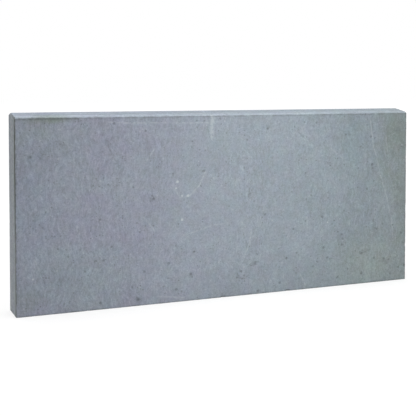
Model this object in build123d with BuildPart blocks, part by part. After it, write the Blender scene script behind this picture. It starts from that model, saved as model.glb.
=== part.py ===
"""A flat basalt massage stone: one honed slab that stands on its long edge or lies on a broad face.

Lengths are in millimetres. X runs along the slab and Y through its thickness, with the front face
towards -Y. Z is up. The origin is the middle of the resting edge.
"""

from build123d import *
import os

# Overall size
length = 272.0
height = 120.0  # up to the crest of the top edge
thickness = 20.0

# The top edge is ground to a low ridge, whose crest lies nearer the back face
crest_setback = 13.0  # from the front face to the crest
crest_width = 1.0
crest_radius = 4.0  # rounds the crest into its two slopes
front_slope_fall = 2.0  # from the crest down to the front arris
back_slope_fall = 1.4  # from the crest down to the back face

# A steeper arris joins the front slope to the front face
front_arris_depth = 1.5
front_arris_fall = 0.8

# The remaining edges are eased by hand
shoulder_radius = 0.6  # where the ridge meets the front and back faces
foot_arris = 0.4  # along both sides of the resting edge
end_arris = 0.5  # round both sawn ends

front_y = -thickness / 2
back_y = thickness / 2
crest_y = front_y + crest_setback
arris_z = height - front_slope_fall
front_shoulder_z = arris_z - front_arris_fall
back_shoulder_z = height - back_slope_fall

with BuildPart() as stone_slab:
    # The section that both ends show
    with BuildSketch(Plane.YZ) as section:
        with BuildLine():
            Polyline(
                (front_y, 0),
                (back_y, 0),
                (back_y, back_shoulder_z),
                (crest_y + crest_width, height),
                (crest_y, height),
                (front_y + front_arris_depth, arris_z),
                (front_y, front_shoulder_z),
                close=True,
            )
        make_face()
        foot_corners = section.vertices().group_by(Axis.Y)[0]
        chamfer(foot_corners, length=foot_arris)
        crest_corners = section.vertices().group_by(Axis.Y)[-1]
        fillet(crest_corners, radius=crest_radius)
        front_shoulder = section.vertices().sort_by_distance((front_y, front_shoulder_z))[0]
        back_shoulder = section.vertices().sort_by_distance((back_y, back_shoulder_z))[0]
        fillet([front_shoulder, back_shoulder], radius=shoulder_radius)
    extrude(amount=length / 2, both=True)

    sawn_ends = stone_slab.faces().filter_by(Axis.X)
    chamfer(sawn_ends.edges(), length=end_arris)

stone_slab.part.label = "stone_slab"

os.makedirs("parts", exist_ok=True)
export_step(stone_slab.part, "parts/stone_slab.step")
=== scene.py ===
import math
import random

import bmesh
import bpy
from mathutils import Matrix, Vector, kdtree, noise


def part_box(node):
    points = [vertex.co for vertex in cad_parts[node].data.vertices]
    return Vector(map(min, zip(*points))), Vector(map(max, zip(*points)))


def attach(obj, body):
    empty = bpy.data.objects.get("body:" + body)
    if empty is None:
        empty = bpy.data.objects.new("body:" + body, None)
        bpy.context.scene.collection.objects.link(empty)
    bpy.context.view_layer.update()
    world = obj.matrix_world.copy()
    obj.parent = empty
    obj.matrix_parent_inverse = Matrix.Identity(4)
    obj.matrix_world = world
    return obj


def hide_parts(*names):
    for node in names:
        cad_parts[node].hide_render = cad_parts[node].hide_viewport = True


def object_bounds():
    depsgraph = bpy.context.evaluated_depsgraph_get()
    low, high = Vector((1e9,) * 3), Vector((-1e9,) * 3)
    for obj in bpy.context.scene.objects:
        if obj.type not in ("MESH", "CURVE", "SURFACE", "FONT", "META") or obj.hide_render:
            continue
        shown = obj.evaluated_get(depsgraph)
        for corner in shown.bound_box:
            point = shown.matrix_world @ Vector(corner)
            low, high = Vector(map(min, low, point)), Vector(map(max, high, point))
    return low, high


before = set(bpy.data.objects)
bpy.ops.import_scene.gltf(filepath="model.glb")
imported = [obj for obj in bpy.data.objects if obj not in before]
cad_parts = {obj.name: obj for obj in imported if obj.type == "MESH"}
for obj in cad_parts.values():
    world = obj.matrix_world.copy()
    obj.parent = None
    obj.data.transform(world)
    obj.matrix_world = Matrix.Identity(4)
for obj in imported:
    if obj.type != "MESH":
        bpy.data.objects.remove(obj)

# The slab is worked out in millimetres from the foot of its front left corner, then moved into the frame
MM = 0.001
cad_low, cad_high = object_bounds()
slab_low, slab_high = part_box("stone_slab")
CORNER = Vector(slab_low)
SIZE = (Vector(slab_high) - Vector(slab_low)) / MM
LENGTH, THICKNESS, HEIGHT = SIZE

# The ridge along the top edge, from the front face to the back: distance in, and fall below the crest
RIDGE = ((0.0, 3.0), (1.5, 2.0), (13.0, 0.0), (14.0, 0.0), (THICKNESS, 1.4))
CREST_SOFTNESS = 0.6

# Mesh spacing, which is close along the arrises and open over the faces
EDGE_STEP = 0.12
STEP_GROWTH = 1.5
FACE_STEP = 1.45
RIDGE_STEP = 0.8
MARK_CUTS = 3

# Arrises, and how unevenly they were eased. Frequencies are in cycles per millimetre
END_ARRIS = 0.42
FOOT_ARRIS = 0.34
SHOULDER_ARRIS = 0.3
END_REACH = 2.0
ARRIS_UNEVENNESS = 0.45
LONG_WANDER = 0.17
SHORT_WANDER = 0.7
ARRIS_ROUGHNESS = 0.1
ARRIS_GRIT = 1.3
END_LEAN = 0.45
EDGE_REACH = 0.75
HONING_WAVE = 0.07
HONING_WAVELENGTH = 23

# Pits that stand out on the front face: distance along, height, radius. Depth is a share of the radius
FRONT_PITS = (
    (119, 82, 0.9), (111, 101, 0.6), (130, 115, 0.8), (114, 114, 0.6), (80, 108, 0.7), (98, 81, 0.7),
    (60, 113, 0.9), (95, 25, 0.9), (79, 21, 0.8), (110, 17, 0.7), (155, 20, 0.8), (152, 19, 0.6),
    (145, 16, 0.8), (142, 12, 0.8), (147, 13, 0.6), (100, 8, 0.9), (205, 48, 0.9), (220, 35, 0.8),
    (221, 32, 0.8), (220, 28, 0.9), (206, 27, 1.0), (209, 20, 0.9), (178, 22, 0.8), (236, 7, 0.8),
    (244, 82, 0.9), (223, 103, 0.6), (192, 78, 0.7), (31, 34, 0.7), (25, 39, 0.6), (48, 30, 0.7),
    (53, 30, 0.7), (51, 4, 0.9), (75, 4, 1.0), (243, 101, 0.7), (246, 100, 0.6), (85, 66, 0.8),
    (51, 55, 0.8), (173, 6, 0.9), (157, 2, 0.8), (217, 37, 0.6), (198, 15, 0.7), (201, 18, 0.6),
    (151, 66, 0.6), (192, 46, 0.6), (214, 45, 0.6), (162, 52, 0.6), (9, 94, 0.8), (112, 31, 0.7),
    (164, 108, 0.8), (270, 26, 0.6), (271, 10, 0.9), (154, 61, 0.6), (84, 68, 0.7), (217, 6, 0.8),
    (236, 21, 0.7), (246, 17, 0.8), (254, 16, 0.8), (258, 15, 0.7), (266, 9, 0.7), (225, 11, 0.7),
    (268, 33, 0.8), (261, 39, 0.7), (259, 5, 0.7), (248, 37, 0.6), (183, 41, 0.7), (231, 23, 0.6),
)
FRONT_PIT_DEPTH = 0.42

# Pale mineral flecks on the front face: distance along, height, radius
FRONT_FLECKS = (
    (101, 76, 0.8), (100, 72, 0.5), (104, 67, 0.5), (108, 67, 0.8), (104, 52, 0.8), (209, 44, 0.5),
    (10, 22, 0.5),
)

# Bites out of the arrises: distance along, depth in, height, size
CHIPS = (
    (132, 0, 0, 0.9), (179, 0, 0, 0.8), (43, 0, 0, 0.6), (215, 0, 0, 0.5), (0, 0, 71, 0.5), (0, 0, 30, 0.6),
    (0, 0, 96, 0.45), (LENGTH, 0, 88, 0.5), (LENGTH, 0, 25, 0.6), (0, THICKNESS, 55, 0.7),
    (LENGTH, THICKNESS, 77, 0.8), (96, THICKNESS, 0, 0.9), (204, THICKNESS, HEIGHT, 0.7),
    (61, THICKNESS, HEIGHT, 0.8), (0, 7, 0, 0.7), (LENGTH, 12, HEIGHT, 0.6),
)
CHIP_SPREAD = 1.6
CHIP_UNEVENNESS = 0.4
CHIP_JAGS = 2.1

# Small marks strewn over each side: how many pits, how many flecks. Depth is a share of the radius
STREWN = {"front": (34, 3), "back": (70, 9), "top": (6, 1), "left": (6, 1), "right": (6, 1)}
STREWN_SEED = 20
STREWN_MARGIN = 2.5
STREWN_RADIUS = (0.3, 0.6)
STREWN_PIT_DEPTH = (0.2, 0.45)
STREWN_FLECK_STRENGTH = (0.3, 0.8)

# A mark's outline wanders, and its bowl reaches a little past its radius
MARK_UNEVENNESS = 0.35
MARK_JAGS = 1.9
BOWL_REACH = 1.25
PIT_FLATNESS = 1.5
FLECK_FLATNESS = 1.8
LARGEST_MARK_REACH = 2.4

# How far round a mark or a chip the mesh is refined: times its radius, and millimetres beyond
MARK_REFINEMENT = (1.7, 0.6)
CHIP_REFINEMENT = 2.5


# ---- Shape ----

def stations(span, widest):
    """Distances from 0 to span that are close together near both ends."""
    half = [0.0]
    step = EDGE_STEP
    while step < widest:
        half.append(half[-1] + step)
        step *= STEP_GROWTH
    gap = span - 2 * half[-1]
    count = max(1, round(gap / widest))
    middle = [half[-1] + gap * i / count for i in range(1, count)]
    return half + middle + [span - d for d in reversed(half)]


def box_mesh(*axes):
    """A closed box of small faces that share their corners, from its stations along X, Y and Z."""
    mesh = bmesh.new()
    corners = {}

    def corner(*index):
        if index not in corners:
            corners[index] = mesh.verts.new([axis[i] for axis, i in zip(axes, index)])
        return corners[index]

    def face(across, at, first, i, second, j):
        ring = []
        for u, v in ((i, j), (i + 1, j), (i + 1, j + 1), (i, j + 1)):
            index = [0, 0, 0]
            index[across], index[first], index[second] = at, u, v
            ring.append(corner(*index))
        mesh.faces.new(ring)

    x, y, z = range(3)
    last = [len(axis) - 1 for axis in axes]
    for i in range(last[x]):
        for k in range(last[z]):
            for at in (0, last[y]):
                face(y, at, x, i, z, k)
        for j in range(last[y]):
            for at in (0, last[z]):
                face(z, at, x, i, y, j)
    for j in range(last[y]):
        for k in range(last[z]):
            for at in (0, last[x]):
                face(x, at, y, j, z, k)
    bmesh.ops.recalc_face_normals(mesh, faces=mesh.faces)
    return mesh


def on_side(side, along, up):
    """A point on one side of the box, from two distances across it."""
    return {
        "front": Vector((along, 0.0, up)),
        "back": Vector((along, THICKNESS, up)),
        "top": Vector((along, up, HEIGHT)),
        "left": Vector((0.0, along, up)),
        "right": Vector((LENGTH, along, up)),
    }[side]


def side_spans(side):
    """How far the two distances of on_side run."""
    if side in ("front", "back"):
        return LENGTH, HEIGHT
    if side == "top":
        return LENGTH, THICKNESS
    return THICKNESS, HEIGHT


def marks():
    """Every pit and fleck as (place, radius, pit depth, fleck strength)."""
    dice = random.Random(STREWN_SEED)
    made = []
    stretch = HEIGHT / ridge_top(0.0)  # heights on the front are measured after the ridge is cut
    for along, up, radius in FRONT_PITS:
        made.append((on_side("front", along, up * stretch), radius, FRONT_PIT_DEPTH * radius, 0.0))
    for along, up, radius in FRONT_FLECKS:
        made.append((on_side("front", along, up * stretch), radius, 0.0, 1.0))
    for side, (pits, flecks) in STREWN.items():
        wide, tall = side_spans(side)
        for n in range(pits + flecks):
            along = dice.uniform(STREWN_MARGIN, wide - STREWN_MARGIN)
            up = dice.uniform(STREWN_MARGIN, tall - STREWN_MARGIN)
            place = on_side(side, along, up)
            radius = dice.uniform(*STREWN_RADIUS)
            if n < pits:
                made.append((place, radius, dice.uniform(*STREWN_PIT_DEPTH) * radius, 0.0))
            else:
                made.append((place, radius, 0.0, dice.uniform(*STREWN_FLECK_STRENGTH)))
    return made


def refine(mesh, spots):
    """Cuts the faces within reach of each spot into smaller ones."""
    mesh.faces.ensure_lookup_table()
    tree = kdtree.KDTree(len(mesh.faces))
    for face in mesh.faces:
        tree.insert(face.calc_center_median(), face.index)
    tree.balance()
    edges = set()
    for place, reach in spots:
        for _, index, _ in tree.find_range(place, reach):
            edges.update(mesh.faces[index].edges)
    bmesh.ops.subdivide_edges(mesh, edges=list(edges), cuts=MARK_CUTS, use_grid_fill=True)
    # Faces beside the smaller ones have extra corners in a row, so they are cut up too
    borders = [face for face in mesh.faces if len(face.verts) > 4]
    bmesh.ops.triangulate(mesh, faces=borders, ngon_method="BEAUTY")


def ridge_fall(depth):
    """How far the top edge lies below its crest at this distance from the front face."""
    for (near, fall), (far, next_fall) in zip(RIDGE, RIDGE[1:]):
        if depth <= far:
            return fall + (next_fall - fall) * max(0.0, depth - near) / (far - near)
    return RIDGE[-1][1]


def ridge_top(depth):
    """Height of the top edge, with its crest softened."""
    offsets = (-CREST_SOFTNESS, 0.0, CREST_SOFTNESS)
    if depth < RIDGE[1][0]:
        offsets = (0.0,)
    return HEIGHT - sum(ridge_fall(min(THICKNESS, depth + o)) for o in offsets) / len(offsets)


def arris_radius(p, chips):
    """How rounded the nearest edge is here. It wanders along the edge and grows where a chip is missing."""
    near_end = min(p.x, LENGTH - p.x) < END_REACH
    base = END_ARRIS if near_end else FOOT_ARRIS if p.z < HEIGHT / 2 else SHOULDER_ARRIS
    wander = noise.noise(p * LONG_WANDER) + 0.5 * noise.noise(p * SHORT_WANDER)
    radius = base * (1 + ARRIS_UNEVENNESS * wander)
    for place, size in chips:
        away = (p - place).length / (CHIP_SPREAD * size)
        if away < 2:
            radius += size * math.exp(-away * away) * (1 + CHIP_UNEVENNESS * noise.noise(p * CHIP_JAGS))
    return radius


def edge_closeness(p):
    """1 on an edge of the sharp box, and falling away across the face beside it."""
    distances = sorted(min(c, span - c) for c, span in zip(p, SIZE))
    return math.exp(-(distances[1] / EDGE_REACH) ** 2)


def hollowed(p, hollows):
    """How deep the marks round a point sink it, and how much it is pit and fleck."""
    dip = pit = fleck = 0.0
    for place, radius, depth, pale in hollows:
        reach = radius * (1 + MARK_UNEVENNESS * noise.noise(p * MARK_JAGS + place))
        bowl = max(0.0, 1 - ((p - place).length / reach / BOWL_REACH) ** 2)
        dip += depth * bowl
        if depth > 0:
            pit = max(pit, min(1.0, PIT_FLATNESS * bowl))
        fleck = max(fleck, pale * min(1.0, FLECK_FLATNESS * bowl))
    return dip, pit, fleck


def shaped(p, chips, hollows):
    """Moves a point of the sharp box onto the stone.

    Returns its place, and how much it is arris, pit and fleck.
    """
    radius = arris_radius(p, chips)
    inner = Vector([min(max(c, radius), span - radius) for c, span in zip(p, SIZE)])
    out = (p - inner).normalized()
    # 0 on a face and 1 halfway round an edge
    arris = (1 - max(abs(c) for c in out)) / (1 - math.sqrt(0.5))

    dip, pit, fleck = hollowed(p, hollows)
    dip += HONING_WAVE * (0.5 + 0.5 * noise.noise(p / HONING_WAVELENGTH))
    dip += ARRIS_ROUGHNESS * min(1.0, arris) * abs(noise.noise(p * ARRIS_GRIT))
    q = inner + out * (radius - dip)

    # The ends were sawn a little out of square and are closer together at the top
    q.x += END_LEAN * q.z / HEIGHT * (1 - 2 * q.x / LENGTH)
    q.z *= ridge_top(q.y) / HEIGHT
    return q, min(1.0, arris), pit, fleck


def near_marks(made, reach):
    """A lookup from a point to the marks round it."""
    tree = kdtree.KDTree(len(made))
    for n, mark in enumerate(made):
        tree.insert(mark[0], n)
    tree.balance()
    return lambda p: [made[n] for _, n, _ in tree.find_range(p, reach)]


def build_slab():
    """The stone itself: a fine closed mesh with eased arrises, chips, pits and honing waves."""
    mesh = box_mesh(
        stations(LENGTH, FACE_STEP),
        stations(THICKNESS, RIDGE_STEP),
        stations(HEIGHT, FACE_STEP),
    )
    made = marks()
    chips = [(Vector(chip[:3]), chip[3]) for chip in CHIPS]
    times, beyond = MARK_REFINEMENT
    spots = [(place, times * radius + beyond) for place, radius, _, _ in made]
    spots += [(place, CHIP_REFINEMENT * size) for place, size in chips]
    refine(mesh, spots)

    hollows_near = near_marks(made, LARGEST_MARK_REACH)
    names = ("arris", "edge", "pit", "fleck", "sawn", "ground")
    layers = {name: mesh.verts.layers.float.new(name) for name in names}
    for vert in mesh.verts:
        p = vert.co.copy()
        q, arris, pit, fleck = shaped(p, chips, hollows_near(p))
        vert[layers["arris"]] = arris
        vert[layers["edge"]] = edge_closeness(p)
        vert[layers["pit"]] = pit
        vert[layers["fleck"]] = fleck
        vert[layers["sawn"]] = 1.0 if min(p.x, LENGTH - p.x) < EDGE_STEP / 2 else 0.0
        vert[layers["ground"]] = 1.0 if p.z > HEIGHT - EDGE_STEP / 2 else 0.0
        vert.co = CORNER + q * MM
    for face in mesh.faces:
        face.smooth = True
    return add_object("basalt_slab", mesh)


def add_object(name, mesh):
    """Puts a finished mesh into the scene."""
    data = bpy.data.meshes.new(name)
    mesh.to_mesh(data)
    mesh.free()
    made = bpy.data.objects.new(name, data)
    bpy.context.scene.collection.objects.link(made)
    return made


# ---- Stone ----

# Linear colours of the bed
BLUE_GREY = (0.248, 0.285, 0.323)
VIOLET_GREY = (0.258, 0.276, 0.337)
TEAL_GREY = (0.240, 0.284, 0.312)
OLIVE_GREY = (0.240, 0.282, 0.286)

# Of its stains
OLIVE_DARK = (0.185, 0.218, 0.205)
OLIVE_PALE = (0.260, 0.305, 0.303)
MOSS_GREY = (0.252, 0.292, 0.332)
SLATE_BLUE = (0.248, 0.283, 0.341)
DEEP_TEAL = (0.226, 0.288, 0.312)
RUSTY_GREY = (0.190, 0.190, 0.200)
SOOTY_GREY = (0.110, 0.125, 0.118)

# Of its worked surfaces, its small marks, and its arrises, which are darkened partly by dirt and partly by
# painted shade
GROUND_BLUE = (0.264, 0.299, 0.352)
SAWN_GREY = (0.300, 0.326, 0.353)
# A line of painted shade on the left end's front arris
LEFT_ARRIS_SHADE = (0.070, 0.082, 0.068)
# Dark along the arrises: partly dirt and partly painted shade
ARRIS_DIRT_AND_SHADE = SOOTY_GREY
# Dark crystals and dark lines, and the painted shade in pits
DARK_MARK_AND_SHADE = (0.085, 0.098, 0.106)
FLECK_PALE = (0.46, 0.50, 0.53)

# How the bed changes along the slab: where from and to, how much before and after, and the colour
BED = (
    (50, 165, 1.0, 0.0, VIOLET_GREY),
    (150, 225, 0.0, 1.0, TEAL_GREY),
    (238, 264, 0.0, 1.0, OLIVE_GREY),
)

# Clouds of blue-grey over the bed, which the ground top keeps to throughout
CLOUD_SIZE = 30
CLOUD_STRENGTH = 0.5
GROUND_CLOUD = 0.7

# Slight casts of colour in patches: size, one colour and the other
CASTS = (
    (6.5, (1.02, 1.0, 0.98), (0.98, 1.0, 1.02)),
    (8.0, (0.988, 1.018, 0.988), (1.012, 0.982, 1.012)),
)

# Grain as size and depth of tone
GRAIN = ((13, 0.05), (4.5, 0.05), (1.7, 0.10), (0.8, 0.13), (0.4, 0.08))
BROAD_TONE = (60, 0.05)

# The hone ran up and down. Its streaks as size and depth of tone, and how they are drawn out
HONING = ((2.6, 0.06), (1.1, 0.15))
HONING_STRETCH = (1.0, 1.0, 0.22)

# They show in patches of this size, from faint to plain, and most of all at the two ends:
# from where to where along the slab, and how much before and after
STREAKY_PATCHES = (45, 0.25, 0.8)
STREAKY_ENDS = ((50, 140, 1.0, 0.2), (190, 235, 0.2, 0.85))

# Lines of the grinder along the top and of the saw up the ends: where, stretch, size, depth of tone
GRINDING_STRETCH = (0.02, 1.0, 1.0)
SAWING_STRETCH = (1.0, 1.0, 0.05)
TOOL_LINES = (("ground", GRINDING_STRETCH, 1.5, 0.16), ("sawn", SAWING_STRETCH, 2.5, 0.10))

# The ground top is a little paler, most of all near the front, where the extra paleness is a painted
# highlight
GROUND_PALENESS = 0.11
GROUND_PALE_END = (20, 130, 0.85, 0.0)
GROUND_FRONT_HIGHLIGHT = (1.5, 4.5, 0.08, -0.03)

# Scratches on the front face, and dark lines partly of painted shade: corners as distance along and height,
# width, strength
PALE_SCRATCHES = (
    (((124.5, 117), (124.5, 103)), 2.6, 0.38),
    (((56, 114), (88, 113), (123, 112.5)), 0.8, 0.3),
    (((99, 72), (103, 66), (109, 67)), 0.9, 0.2),
    (((109, 67), (116, 73), (120, 82)), 0.9, 0.42),
    (((242, 112), (245, 94), (250, 76), (255, 62), (260, 44), (261, 28)), 0.9, 0.38),
    (((255, 100), (256, 90)), 0.9, 0.3),
    (((207, 97), (220, 87)), 0.8, 0.32),
    (((192, 111), (187, 103)), 0.9, 0.28),
    (((105, 42), (113, 44), (125, 47), (134, 48)), 0.8, 0.26),
    (((147, 25), (151, 34), (152, 43)), 0.9, 0.32),
    (((193, 48), (193, 41)), 1.6, 0.26),
    (((81, 90), (86, 97)), 0.8, 0.3),
    (((79, 55), (86, 46)), 0.8, 0.3),
    (((11, 34), (14, 27)), 0.8, 0.3),
    (((88, 5), (105, 2.5)), 0.9, 0.32),
    (((188, 11), (192, 3)), 0.9, 0.32),
)
DARK_SCRATCHES_AND_SHADE = (
    # The first is a dark line just under the top edge, partly dirt and partly painted shade
    (((3, 116.6), (13, 116.7), (38, 116.4)), 1.2, 0.6),
    (((19, 100), (14, 91)), 0.9, 0.25),
    (((142, 15), (143, 12), (147, 11), (150, 13)), 0.9, 0.4),
    (((150, 19), (153, 21), (157, 21)), 0.9, 0.35),
    (((187, 105), (190, 102)), 0.9, 0.4),
    (((151, 70), (150, 62)), 0.9, 0.3),
    (((235, 21), (238, 21.5), (242, 23)), 0.9, 0.35),
    # These three darken the chips at the foot and on the left end's front arris
    (((131, 0.5), (133, 0.5)), 1.4, 0.9),
    (((178, 0.5), (180, 0.5)), 1.4, 0.9),
    (((0.3, 70.5), (0.3, 72.5)), 1.0, 0.8),
)

# Stains on the front face: distance along, height, half width, half height, colour, strength
STAINS = (
    (20, 116, 22, 4.0, OLIVE_DARK, 0.9), (16, 110, 16, 9, OLIVE_GREY, 0.35),
    (6, 10, 11, 14, OLIVE_DARK, 0.35), (85, 66, 4.0, 3.0, SOOTY_GREY, 0.12),
    (109, 17, 3.0, 2.5, SOOTY_GREY, 0.3), (219, 34, 3.5, 6.0, SOOTY_GREY, 0.25),
    (9, 94, 3.0, 4.0, SOOTY_GREY, 0.2), (236, 22, 8.0, 3.0, RUSTY_GREY, 0.45),
    (165, 108, 4.0, 3.0, SOOTY_GREY, 0.2), (75, 4, 4.0, 3.0, SOOTY_GREY, 0.25),
    (51, 29, 5.0, 3.0, SOOTY_GREY, 0.2), (179, 50, 14, 5.0, SOOTY_GREY, 0.1),
    (262, 100, 14, 22, OLIVE_DARK, 0.4), (36, 22, 46, 30, MOSS_GREY, 0.85),
    (268, 66, 8, 50, OLIVE_DARK, 0.35), (244, 14, 44, 30, OLIVE_PALE, 0.8),
    (22, 100, 34, 20, TEAL_GREY, 0.4), (8, 62, 28, 58, SLATE_BLUE, 0.6),
    (229, 94, 11, 24, DEEP_TEAL, 0.6), (256, 15, 6.0, 3.0, RUSTY_GREY, 0.35),
    (134, 98, 16, 18, TEAL_GREY, 0.6), (112, 75, 10, 12, TEAL_GREY, 0.5),
)

# A stain is at full strength this far out from its middle, and fades to nothing at 1
STAIN_CORE = 0.15

# How far noise of this size pushes a pattern about, in millimetres across the noise's whole range
PUSH_SIZE = 20.0
CLOUD_PUSH = 16.0
STAIN_PUSH = 6.0
MARK_PUSH = 1.5

# Crystals: cells per millimetre, the range of their radius in cells, and the patches it varies in
CRYSTAL_DENSITY = 0.55
CRYSTAL_RADIUS = (0.10, 0.42)
CRYSTAL_PATCHES = 9

# Which of them are dark and which pale, out of 1: none before the first number, fully after the second
DARK_CRYSTALS = (0.5, 0.9)
PALE_CRYSTALS = (0.88, 0.98)
CRYSTAL_DARKNESS = 0.42
CRYSTAL_PALENESS = 0.25

# How strongly the marks in the mesh are coloured; the darkening of pits is painted shade
FLECK_STRENGTH = 0.7
PIT_SHADE_STRENGTH = 0.42

# Scratches and dark lines break up in patches, and edges are darkened in patches, partly by dirt and partly
# by painted shade
LINE_BREAKS = 2.2
EDGE_DIRT_AND_SHADE_PATCHES = 4.0
EDGE_DIRT_AND_SHADE_STRENGTH = (0.1, 0.8)

# The painted shade line on the left end's front arris: how far in from the front face it fades out, and how
# it grows from the foot upwards
LEFT_ARRIS_SHADE_WIDTH = (1.2, 4.2, 1.0, 0.0)
LEFT_ARRIS_SHADE_GROWTH = (15, 70, 0.45, 0.95)
LEFT_ARRIS_SHADE_BREAKS = 1.2

# Fine relief: grain size, coarseness on the faces and on the arrises, depth of scratches and crystals
RELIEF_GRAIN = 0.55
RELIEF_COARSENESS = (0.5, 1.6)
SCRATCH_DEPTH = 0.8
CRYSTAL_DEPTH = 0.7
BUMP_STRENGTH = 0.6
BUMP_HEIGHT = 0.03

# Roughness, and how much scratches and arrises add
HONED_ROUGHNESS = (0.62, 0.74)
SAWN_ROUGHNESS = 0.92
SCRATCH_ROUGHNESS = 0.2
WORN_ROUGHNESS = 0.15
STONE_SPECULAR = 0.25


class Nodes:
    """Short names for building one node tree."""

    def __init__(self, tree):
        self.tree = tree
        tree.nodes.clear()

    def new(self, kind, inputs=None, **settings):
        """A node whose inputs are linked or set. A colour is three numbers."""
        node = self.tree.nodes.new(kind)
        for name, value in settings.items():
            setattr(node, name, value)
        for name, value in (inputs or {}).items():
            socket = node.inputs[name]
            if isinstance(value, bpy.types.NodeSocket):
                self.tree.links.new(value, socket)
            elif socket.type == "RGBA":
                socket.default_value = (*value, 1.0)
            else:
                socket.default_value = value
        return node

    def math(self, operation, a, b=0.0, clamp=False):
        return self.new("ShaderNodeMath", {0: a, 1: b}, operation=operation, use_clamp=clamp).outputs[0]

    def vector(self, operation, a, b):
        """A vector made from two vectors."""
        return self.new("ShaderNodeVectorMath", {0: a, 1: b}, operation=operation).outputs["Vector"]

    def scaled(self, a, factor):
        inputs = {0: a, "Scale": factor}
        return self.new("ShaderNodeVectorMath", inputs, operation="SCALE").outputs["Vector"]

    def dot(self, a, b):
        return self.new("ShaderNodeVectorMath", {0: a, 1: b}, operation="DOT_PRODUCT").outputs["Value"]

    def length(self, a):
        return self.new("ShaderNodeVectorMath", {0: a}, operation="LENGTH").outputs["Value"]

    def part(self, vector, axis):
        """One coordinate of a vector."""
        return self.new("ShaderNodeSeparateXYZ", {"Vector": vector}).outputs[axis]

    def noise(self, place, size, detail=2.0, roughness=0.5):
        """Noise whose features are about size millimetres across."""
        inputs = {"Vector": place, "Scale": 1 / size, "Detail": detail, "Roughness": roughness}
        return self.new("ShaderNodeTexNoise", inputs).outputs["Fac"]

    def span(self, value, low, high, to_low=0.0, to_high=1.0, smooth=True):
        """Maps low..high to to_low..to_high and holds it there."""
        inputs = {"Value": value, "From Min": low, "From Max": high, "To Min": to_low, "To Max": to_high}
        kind = "SMOOTHSTEP" if smooth else "LINEAR"
        return self.new("ShaderNodeMapRange", inputs, interpolation_type=kind, clamp=True).outputs["Result"]

    def swing(self, value, low, high):
        """Spreads noise, which rarely leaves 0.3 to 0.7, over low..high."""
        return self.span(value, 0.3, 0.7, low, high, smooth=False)

    def mix(self, factor, a, b, blend="MIX"):
        """Colour a turned into colour b by this much."""
        inputs = {0: factor, 6: a, 7: b}
        return self.new("ShaderNodeMix", inputs, data_type="RGBA", blend_type=blend).outputs[2]

    def vary(self, tone, change, amount):
        """A tone raised or lowered by a share of itself."""
        share = self.math("ADD", self.math("MULTIPLY", change, amount), 1.0)
        return self.math("MULTIPLY", tone, share)

    def attribute(self, name):
        return self.new("ShaderNodeAttribute", attribute_name=name).outputs["Fac"]


def new_material(name):
    material = bpy.data.materials.new(name)
    material.use_nodes = True
    return material, Nodes(material.node_tree)


def scratch(nodes, place, start, end, width, strength):
    """How much a point lies in one straight line; the lines are scratches, and dark lines that are partly
    painted shade.
    """
    a = Vector((start[0], 0.0, start[1]))
    run = Vector((end[0], 0.0, end[1])) - a
    from_a = nodes.vector("SUBTRACT", place, tuple(a))
    share = nodes.dot(from_a, tuple(run / run.length_squared))
    along = nodes.math("ADD", share, 0.0, clamp=True)
    off = nodes.length(nodes.vector("SUBTRACT", from_a, nodes.scaled(tuple(run), along)))
    return nodes.span(off, 0.0, width, strength, 0.0)


def scratches(nodes, place, lines):
    """The strongest of the lines at a point: scratches, and dark lines partly of painted shade."""
    strongest = 0.0
    for corners, width, strength in lines:
        for start, end in zip(corners, corners[1:]):
            strongest = nodes.math("MAXIMUM", strongest, scratch(nodes, place, start, end, width, strength))
    return strongest


def stain(nodes, place, along, up, half_wide, half_tall, strength):
    """A soft-edged oval on the front half of the stone."""
    offset = nodes.vector("SUBTRACT", place, (along, 0.0, up))
    scale = (1 / half_wide, 1 / THICKNESS, 1 / half_tall)
    away = nodes.length(nodes.vector("MULTIPLY", offset, scale))
    return nodes.span(away, STAIN_CORE, 1.0, strength, 0.0)


def stone_places(nodes):
    """A point in millimetres from the slab's corner, then pushed about for clouds, stains and marks."""
    coordinates = nodes.new("ShaderNodeTexCoord").outputs["Object"]
    place = nodes.scaled(nodes.vector("SUBTRACT", coordinates, tuple(CORNER)), 1 / MM)
    inputs = {"Vector": place, "Scale": 1 / PUSH_SIZE, "Detail": 3.0}
    wander = nodes.new("ShaderNodeTexNoise", inputs).outputs["Color"]
    centred = nodes.vector("SUBTRACT", wander, (0.5, 0.5, 0.5))
    pushes = (CLOUD_PUSH, STAIN_PUSH, MARK_PUSH)
    return place, *[nodes.vector("ADD", place, nodes.scaled(centred, push)) for push in pushes]


def bed_colour(nodes, place, clouded, ragged, nudged):
    """Violet to teal to olive along the slab, with stains, and with a paler top and ends."""
    ground = nodes.attribute("ground")
    along = nodes.part(clouded, "X")
    colour = BLUE_GREY
    for start, end, before, after, tint in BED:
        colour = nodes.mix(nodes.span(along, start, end, before, after), colour, tint)
    cloud = nodes.span(nodes.noise(place, CLOUD_SIZE, 3), 0.42, 0.62, 0.0, CLOUD_STRENGTH)
    cloud = nodes.math("MAXIMUM", cloud, nodes.math("MULTIPLY", ground, GROUND_CLOUD))
    colour = nodes.mix(cloud, colour, BLUE_GREY)
    pale_end = nodes.math("MULTIPLY", ground, nodes.span(along, *GROUND_PALE_END))
    colour = nodes.mix(pale_end, colour, GROUND_BLUE)
    for x, z, half_wide, half_tall, tint, strength in STAINS:
        colour = nodes.mix(stain(nodes, ragged, x, z, half_wide, half_tall, strength), colour, tint)
    colour = nodes.mix(nodes.attribute("sawn"), colour, SAWN_GREY)
    for size, one, other in CASTS:
        cast = nodes.mix(nodes.swing(nodes.noise(nudged, size), 0.0, 1.0), one, other)
        colour = nodes.mix(1.0, colour, cast, "MULTIPLY")
    return colour


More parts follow.
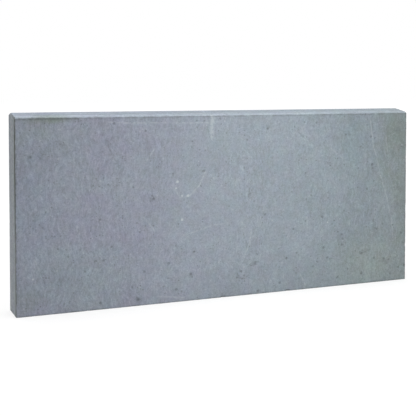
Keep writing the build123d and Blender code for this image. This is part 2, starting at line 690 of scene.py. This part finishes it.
def stone_tone(nodes, place, clouded):
    """Light and dark at each scale of the grain, and the marks of the hone, the grinder and the saw."""
    size, depth = BROAD_TONE
    tone = nodes.swing(nodes.noise(place, size), 1 - depth, 1 + depth)
    for size, depth in GRAIN:
        grain = nodes.span(nodes.noise(place, size), 0.25, 0.75, 1 - depth, 1 + depth, smooth=False)
        tone = nodes.math("MULTIPLY", tone, grain)

    size, faint, plain = STREAKY_PATCHES
    streaky = nodes.span(nodes.noise(place, size), 0.38, 0.62, faint, plain)
    along = nodes.part(clouded, "X")
    for end in STREAKY_ENDS:
        streaky = nodes.math("MAXIMUM", streaky, nodes.span(along, *end))
    honed_place = nodes.vector("MULTIPLY", clouded, HONING_STRETCH)
    for size, depth in HONING:
        streaks = nodes.swing(nodes.noise(honed_place, size, 3, 0.6), -depth, depth)
        tone = nodes.vary(tone, streaks, streaky)

    for name, stretch, size, depth in TOOL_LINES:
        stretched = nodes.vector("MULTIPLY", place, stretch)
        lines = nodes.swing(nodes.noise(stretched, size, 3, 0.6), -depth, depth)
        tone = nodes.vary(tone, lines, nodes.attribute(name))

    ground = nodes.attribute("ground")
    tone = nodes.vary(tone, ground, GROUND_PALENESS)
    # A painted highlight along the front of the ground top
    return nodes.vary(tone, ground, nodes.span(nodes.part(place, "Y"), *GROUND_FRONT_HIGHLIGHT))


def crystals(nodes, place, nudged):
    """How much a point is a dark and a pale crystal."""
    inputs = {"Vector": nudged, "Scale": CRYSTAL_DENSITY, "Randomness": 1.0}
    cells = nodes.new("ShaderNodeTexVoronoi", inputs)
    radius = nodes.span(nodes.noise(place, CRYSTAL_PATCHES), 0.4, 0.7, *CRYSTAL_RADIUS, smooth=False)
    inside = nodes.math("LESS_THAN", cells.outputs["Distance"], radius)
    dice = nodes.new("ShaderNodeSeparateColor", {"Color": cells.outputs["Color"]})
    dark = nodes.span(dice.outputs["Red"], *DARK_CRYSTALS, 0.0, CRYSTAL_DARKNESS)
    pale = nodes.span(dice.outputs["Green"], *PALE_CRYSTALS, 0.0, CRYSTAL_PALENESS)
    return nodes.math("MULTIPLY", inside, dark), nodes.math("MULTIPLY", inside, pale)


def edge_dirt_and_painted_shade(nodes, place):
    """Dark in patches along the edges, but hardly along the top: partly dirt and partly painted shade."""
    patches = nodes.span(nodes.noise(place, EDGE_DIRT_AND_SHADE_PATCHES, 4, 0.6), 0.36, 0.6, *EDGE_DIRT_AND_SHADE_STRENGTH)
    below_top = nodes.span(nodes.part(place, "Z"), HEIGHT - 4, HEIGHT - 2.5, 1.0, 0.25)
    return nodes.math("MULTIPLY", nodes.math("MULTIPLY", nodes.attribute("edge"), patches), below_top)


def left_arris_painted_shade(nodes, place):
    """Painted shade: a broken dark line on the left end beside the front face, which fades towards the
    foot.
    """
    breaks = nodes.noise(nodes.vector("MULTIPLY", place, SAWING_STRETCH), LEFT_ARRIS_SHADE_BREAKS, 4, 0.6)
    limits = (
        nodes.span(nodes.part(place, "Y"), *LEFT_ARRIS_SHADE_WIDTH),
        nodes.span(breaks, 0.3, 0.5),
        nodes.span(nodes.part(place, "Z"), *LEFT_ARRIS_SHADE_GROWTH),
        nodes.span(nodes.part(place, "X"), 1, 3, 1.0, 0.0),
    )
    shade_line = nodes.attribute("sawn")
    for limit in limits:
        shade_line = nodes.math("MULTIPLY", shade_line, limit)
    return shade_line


def fine_relief(nodes, place, scratched, dark):
    """Relief too fine for the mesh: crystals, scratches, and the rougher arrises."""
    coarseness = nodes.span(nodes.attribute("arris"), 0.0, 1.0, *RELIEF_COARSENESS, smooth=False)
    relief = nodes.math("MULTIPLY", nodes.noise(place, RELIEF_GRAIN, 3, 0.6), coarseness)
    relief = nodes.math("SUBTRACT", relief, nodes.math("MULTIPLY", scratched, SCRATCH_DEPTH))
    relief = nodes.math("SUBTRACT", relief, nodes.math("MULTIPLY", dark, CRYSTAL_DEPTH))
    inputs = {"Height": relief, "Strength": BUMP_STRENGTH, "Distance": BUMP_HEIGHT * MM}
    return nodes.new("ShaderNodeBump", inputs).outputs["Normal"]


def stone_roughness(nodes, place, scratched):
    """Patchy where it was honed, rougher in scratches and on arrises, and roughest where it was sawn."""
    rough = nodes.swing(nodes.noise(place, 5.0, 3), *HONED_ROUGHNESS)
    rough = nodes.math("ADD", rough, nodes.math("MULTIPLY", scratched, SCRATCH_ROUGHNESS))
    worn = nodes.math("MULTIPLY", nodes.attribute("arris"), WORN_ROUGHNESS)
    rough = nodes.math("ADD", rough, worn, clamp=True)
    sawn = nodes.math("MULTIPLY", nodes.attribute("sawn"), SAWN_ROUGHNESS)
    return nodes.math("MAXIMUM", rough, sawn)


def stone_material():
    """Honed basalt: mottled blue-grey with violet and teal clouds, crystals, pits, flecks and scratches."""
    material, nodes = new_material("honed_basalt")
    place, clouded, ragged, nudged = stone_places(nodes)
    tone = stone_tone(nodes, place, clouded)
    grey = nodes.new("ShaderNodeCombineColor", {"Red": tone, "Green": tone, "Blue": tone}).outputs["Color"]
    colour = nodes.mix(1.0, bed_colour(nodes, place, clouded, ragged, nudged), grey, "MULTIPLY")

    dark, pale = crystals(nodes, place, nudged)
    broken = nodes.span(nodes.noise(place, LINE_BREAKS, 3), 0.35, 0.6, 0.2, 1.0)
    scratched = nodes.math("MULTIPLY", scratches(nodes, nudged, PALE_SCRATCHES), broken)
    scored_and_shaded = nodes.math("MULTIPLY", scratches(nodes, nudged, DARK_SCRATCHES_AND_SHADE), broken)
    layers = (
        (dark, DARK_MARK_AND_SHADE),
        (pale, FLECK_PALE),
        (scratched, FLECK_PALE),
        # Dark scratches, and a dark line partly of painted shade
        (scored_and_shaded, DARK_MARK_AND_SHADE),
        (nodes.math("MULTIPLY", nodes.attribute("fleck"), FLECK_STRENGTH), FLECK_PALE),
        # Painted shade in the pits
        (nodes.math("MULTIPLY", nodes.attribute("pit"), PIT_SHADE_STRENGTH), DARK_MARK_AND_SHADE),
        # Dark edges, partly dirt and partly painted shade
        (edge_dirt_and_painted_shade(nodes, place), ARRIS_DIRT_AND_SHADE),
        # Painted shade on the left end's front arris
        (left_arris_painted_shade(nodes, place), LEFT_ARRIS_SHADE),
    )
    for amount, tint in layers:
        colour = nodes.mix(amount, colour, tint)

    inputs = {
        "Base Color": colour,
        "Roughness": stone_roughness(nodes, place, scratched),
        "Normal": fine_relief(nodes, place, scratched, dark),
        "Specular IOR Level": STONE_SPECULAR,
    }
    shader = nodes.new("ShaderNodeBsdfPrincipled", inputs)
    nodes.new("ShaderNodeOutputMaterial", {"Surface": shader.outputs["BSDF"]})
    return material


# ---- Studio ----

WHITE = (1.0, 1.0, 1.0)
FLOOR_GREY = (0.22, 0.22, 0.22)
FLOOR_ROUGHNESS = 0.9
FLOOR_GLOW = 0.72
FLOOR_HALF_WIDTH = 6.0

# The dome falls off from overhead to the sides
DOME_FALL = 6.0
OVERHEAD_LIGHT = 5.3
SIDE_LIGHT = 0.035

# Metres and watts
SOFTBOX_PLACE = (0.015, -0.150, 0.115)
SOFTBOX_TARGET = (0.015, 0.0, 0.09)
SOFTBOX_SIZE = (0.04, 0.14)
SOFTBOX_POWER = 0.128

# Metres and degrees, with the lens and its sensor in millimetres
CAMERA_PLACE = (-0.2279, -0.5228, 0.1362)
CAMERA_TURN_RIGHT = 22.61
CAMERA_TILT_DOWN = 3.11
CAMERA_LENS = 76.2
CAMERA_SENSOR = 36.0
CAMERA_SHIFT = -0.18


def floor_material():
    """Pale and partly lit from within, as a light table is."""
    material, nodes = new_material("pale_floor")
    inputs = {
        "Base Color": FLOOR_GREY,
        "Roughness": FLOOR_ROUGHNESS,
        "Emission Color": WHITE,
        "Emission Strength": FLOOR_GLOW,
    }
    shader = nodes.new("ShaderNodeBsdfPrincipled", inputs)
    nodes.new("ShaderNodeOutputMaterial", {"Surface": shader.outputs["BSDF"]})
    return material


def build_floor():
    mesh = bmesh.new()
    half = FLOOR_HALF_WIDTH
    corners = ((-half, -half), (half, -half), (half, half), (-half, half))
    mesh.faces.new([mesh.verts.new((x, y, cad_low[2])) for x, y in corners])
    floor = add_object("floor", mesh)
    floor.data.materials.append(floor_material())


def build_world():
    """A dome that is bright overhead and dimmer round the sides, seen as plain white."""
    world = bpy.data.worlds.new("studio")
    bpy.context.scene.world = world
    world.use_nodes = True
    nodes = Nodes(world.node_tree)
    direction = nodes.new("ShaderNodeTexCoord").outputs["Generated"]
    up = nodes.math("MAXIMUM", nodes.part(direction, "Z"), 0.0)
    overhead = nodes.math("MULTIPLY", nodes.math("POWER", up, DOME_FALL), OVERHEAD_LIGHT)
    strength = nodes.math("ADD", overhead, SIDE_LIGHT)
    dome = nodes.new("ShaderNodeBackground", {"Color": WHITE, "Strength": strength}).outputs["Background"]
    backdrop = nodes.new("ShaderNodeBackground", {"Color": WHITE, "Strength": 1.0}).outputs["Background"]
    seen = nodes.new("ShaderNodeLightPath").outputs["Is Camera Ray"]
    both = nodes.new("ShaderNodeMixShader", {0: seen, 1: dome, 2: backdrop})
    nodes.new("ShaderNodeOutputWorld", {"Surface": both.outputs["Shader"]})


def build_softbox():
    """An upright strip of soft light in front of the middle of the slab, out of the camera's sight."""
    data = bpy.data.lights.new("front_softbox", "AREA")
    data.shape = "RECTANGLE"
    data.size, data.size_y = SOFTBOX_SIZE
    data.energy = SOFTBOX_POWER
    light = bpy.data.objects.new("front_softbox", data)
    light.location = SOFTBOX_PLACE
    direction = Vector(SOFTBOX_TARGET) - Vector(SOFTBOX_PLACE)
    light.rotation_euler = direction.to_track_quat("-Z", "Y").to_euler()
    light.visible_camera = False
    bpy.context.scene.collection.objects.link(light)


def build_camera():
    """Stands a little beyond the left end and above the slab, and looks right and slightly down."""
    data = bpy.data.cameras.new("camera")
    data.lens = CAMERA_LENS
    data.sensor_width = CAMERA_SENSOR
    data.shift_y = CAMERA_SHIFT
    camera = bpy.data.objects.new("camera", data)
    camera.location = CAMERA_PLACE
    tilt = math.pi / 2 - math.radians(CAMERA_TILT_DOWN)
    camera.rotation_euler = (tilt, 0.0, -math.radians(CAMERA_TURN_RIGHT))
    bpy.context.scene.collection.objects.link(camera)
    bpy.context.scene.camera = camera


slab = build_slab()
slab.data.materials.append(stone_material())
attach(slab, "root")
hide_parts("stone_slab")

build_floor()
build_world()
build_softbox()
build_camera()
bpy.context.scene.view_settings.view_transform = "Standard"
